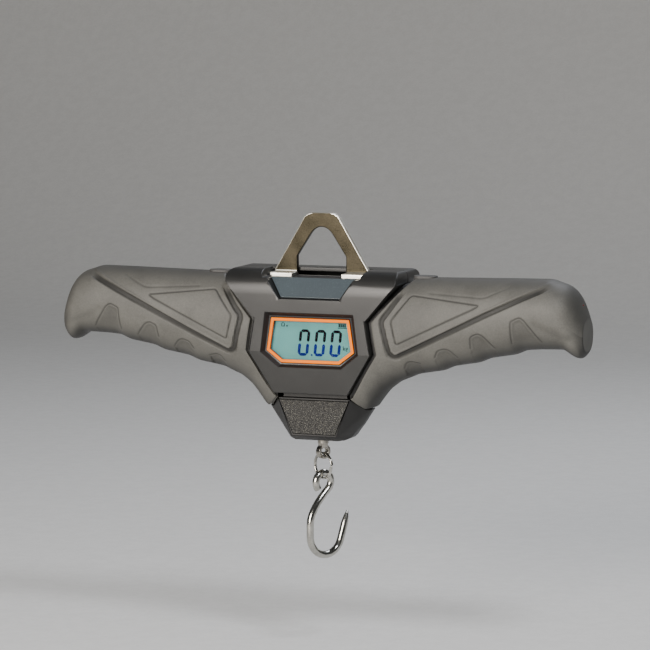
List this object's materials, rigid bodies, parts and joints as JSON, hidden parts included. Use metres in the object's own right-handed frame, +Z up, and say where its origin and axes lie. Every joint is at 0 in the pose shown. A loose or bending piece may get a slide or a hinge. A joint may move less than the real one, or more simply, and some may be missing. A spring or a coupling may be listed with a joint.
{
  "type": "digital fish scale",
  "caption": "Two-handed digital hanging scale: display housing between rubber grips, steel hanger plate above, swivelling split ring and hook below.",
  "frame": {"origin": "the point of the hanger that bears the load, at the top of the hanger hole, in the middle plane", "axes": "+X to the right when the display is read, -Y towards the reader, +Z up along the line of pull"},
  "size_m": [0.298, 0.0423, 0.1891],
  "materials": {
    "housing_plastic": "dark grey glass-filled ABS, fine spark-eroded mould texture, semi-gloss",
    "zinc_steel": "zinc plated steel",
    "badge_gloss": "blue-grey gloss moulding",
    "orange_plastic": "orange moulding, satin",
    "clear_window": "clear acrylic",
    "lcd_glass": "reflective liquid crystal cell, blue-green",
    "white_plastic": "white light guide",
    "board_laminate": "green fibreglass laminate",
    "black_resin": "black moulding compound",
    "aluminium_bar": "mill finish",
    "stainless_plate": "laser-cut stainless plate, tumbled",
    "amber_film": "polyimide film",
    "nylon_black": "black glass-filled nylon",
    "grip_rubber": "warm grey thermoplastic rubber, matt",
    "red_plastic": "red moulding",
    "button_rubber": "black silicone rubber",
    "nose_grain": "coarse speckled grain",
    "stainless_turned": "turned stainless steel",
    "washer_polymer": "acetal",
    "seal_rubber": "black nitrile rubber",
    "stainless_wire": "polished stainless wire",
    "cell_wrap": "printed cell wrap, plain",
    "nickel_strip": "nickel plated spring steel",
    "latch_plastic": "grey acetal",
    "lead_red": "red lead insulation",
    "lead_black": "black lead insulation"
  },
  "bodies": {
    "housing": {"front_cover": "housing_plastic", "rear_cover": "housing_plastic", "cover_screws": "zinc_steel", "badge_plate": "badge_gloss", "lcd_bezel": "orange_plastic", "lcd_window": "clear_window", "lcd_panel": "lcd_glass", "light_guide": "white_plastic", "circuit_board": "board_laminate", "board_parts": "black_resin", "board_screws": "zinc_steel", "crossbar": "aluminium_bar", "hanger_loop": "stainless_plate", "hanger_screws": "zinc_steel", "load_cell": "aluminium_bar", "load_cell_bolt": "zinc_steel", "strain_gauges": "amber_film", "left_grip_core": "nylon_black", "right_grip_core": "nylon_black", "left_grip_sleeve": "grip_rubber", "right_grip_sleeve": "grip_rubber", "grip_screws": "zinc_steel", "end_plugs": "red_plastic", "switch_boards": "board_laminate", "button_switches": "black_resin", "nose_shell": "nylon_black", "nose_panel": "nose_grain", "nose_screws": "zinc_steel", "swivel_coupler": "stainless_turned", "coupler_nut": "stainless_turned", "thrust_washer": "washer_polymer", "stud_seal": "seal_rubber", "battery_tray": "nylon_black", "batteries": "cell_wrap", "contact_plates": "nickel_strip", "contact_springs": "nickel_strip", "door_hinge_pin": "zinc_steel", "cell_lead": "lead_red", "battery_lead": "lead_black"},
    "swivel": {"swivel_stud": "stainless_turned"},
    "ring": {"split_ring": "stainless_wire"},
    "hook": {"hook": "stainless_wire"},
    "power_key": {"power_button": "button_rubber"},
    "unit_key": {"unit_button": "button_rubber"},
    "door": {"battery_door": "housing_plastic", "door_seal": "seal_rubber"},
    "latch": {"turn_latch": "latch_plastic"}
  },
  "joints": [
    {"name": "swivel_turn", "type": "hinge", "parent": "housing", "child": "swivel", "pos_m": [0, 0, -0.115], "axis": [0, 0, 1], "continuous": true},
    {"name": "ring_swing", "type": "hinge", "parent": "swivel", "child": "ring", "pos_m": [0, 0, -0.12325], "axis": [0.866, -0.5, 0], "range_deg": [-60, 60]},
    {"name": "hook_swing", "type": "hinge", "parent": "ring", "child": "hook", "pos_m": [0, 0, -0.13705], "axis": [0.866, -0.5, 0], "range_deg": [-60, 60]},
    {"name": "power_press", "type": "slide", "parent": "housing", "child": "power_key", "axis": [0, 0, -1], "range_m": [0, 0.0008], "stiffness_N_per_m": 1500, "springref_m": -0.0004},
    {"name": "unit_press", "type": "slide", "parent": "housing", "child": "unit_key", "axis": [0, 0, -1], "range_m": [0, 0.0008], "stiffness_N_per_m": 1500, "springref_m": -0.0004},
    {"name": "door_swing", "type": "hinge", "parent": "housing", "child": "door", "pos_m": [0, 0.0185, -0.07005], "axis": [-1, 0, 0], "range_deg": [0, 90]},
    {"name": "latch_turn", "type": "hinge", "parent": "door", "child": "latch", "pos_m": [0, 0.0205, -0.03735], "axis": [0, -1, 0], "range_deg": [0, 90]}
  ]
}
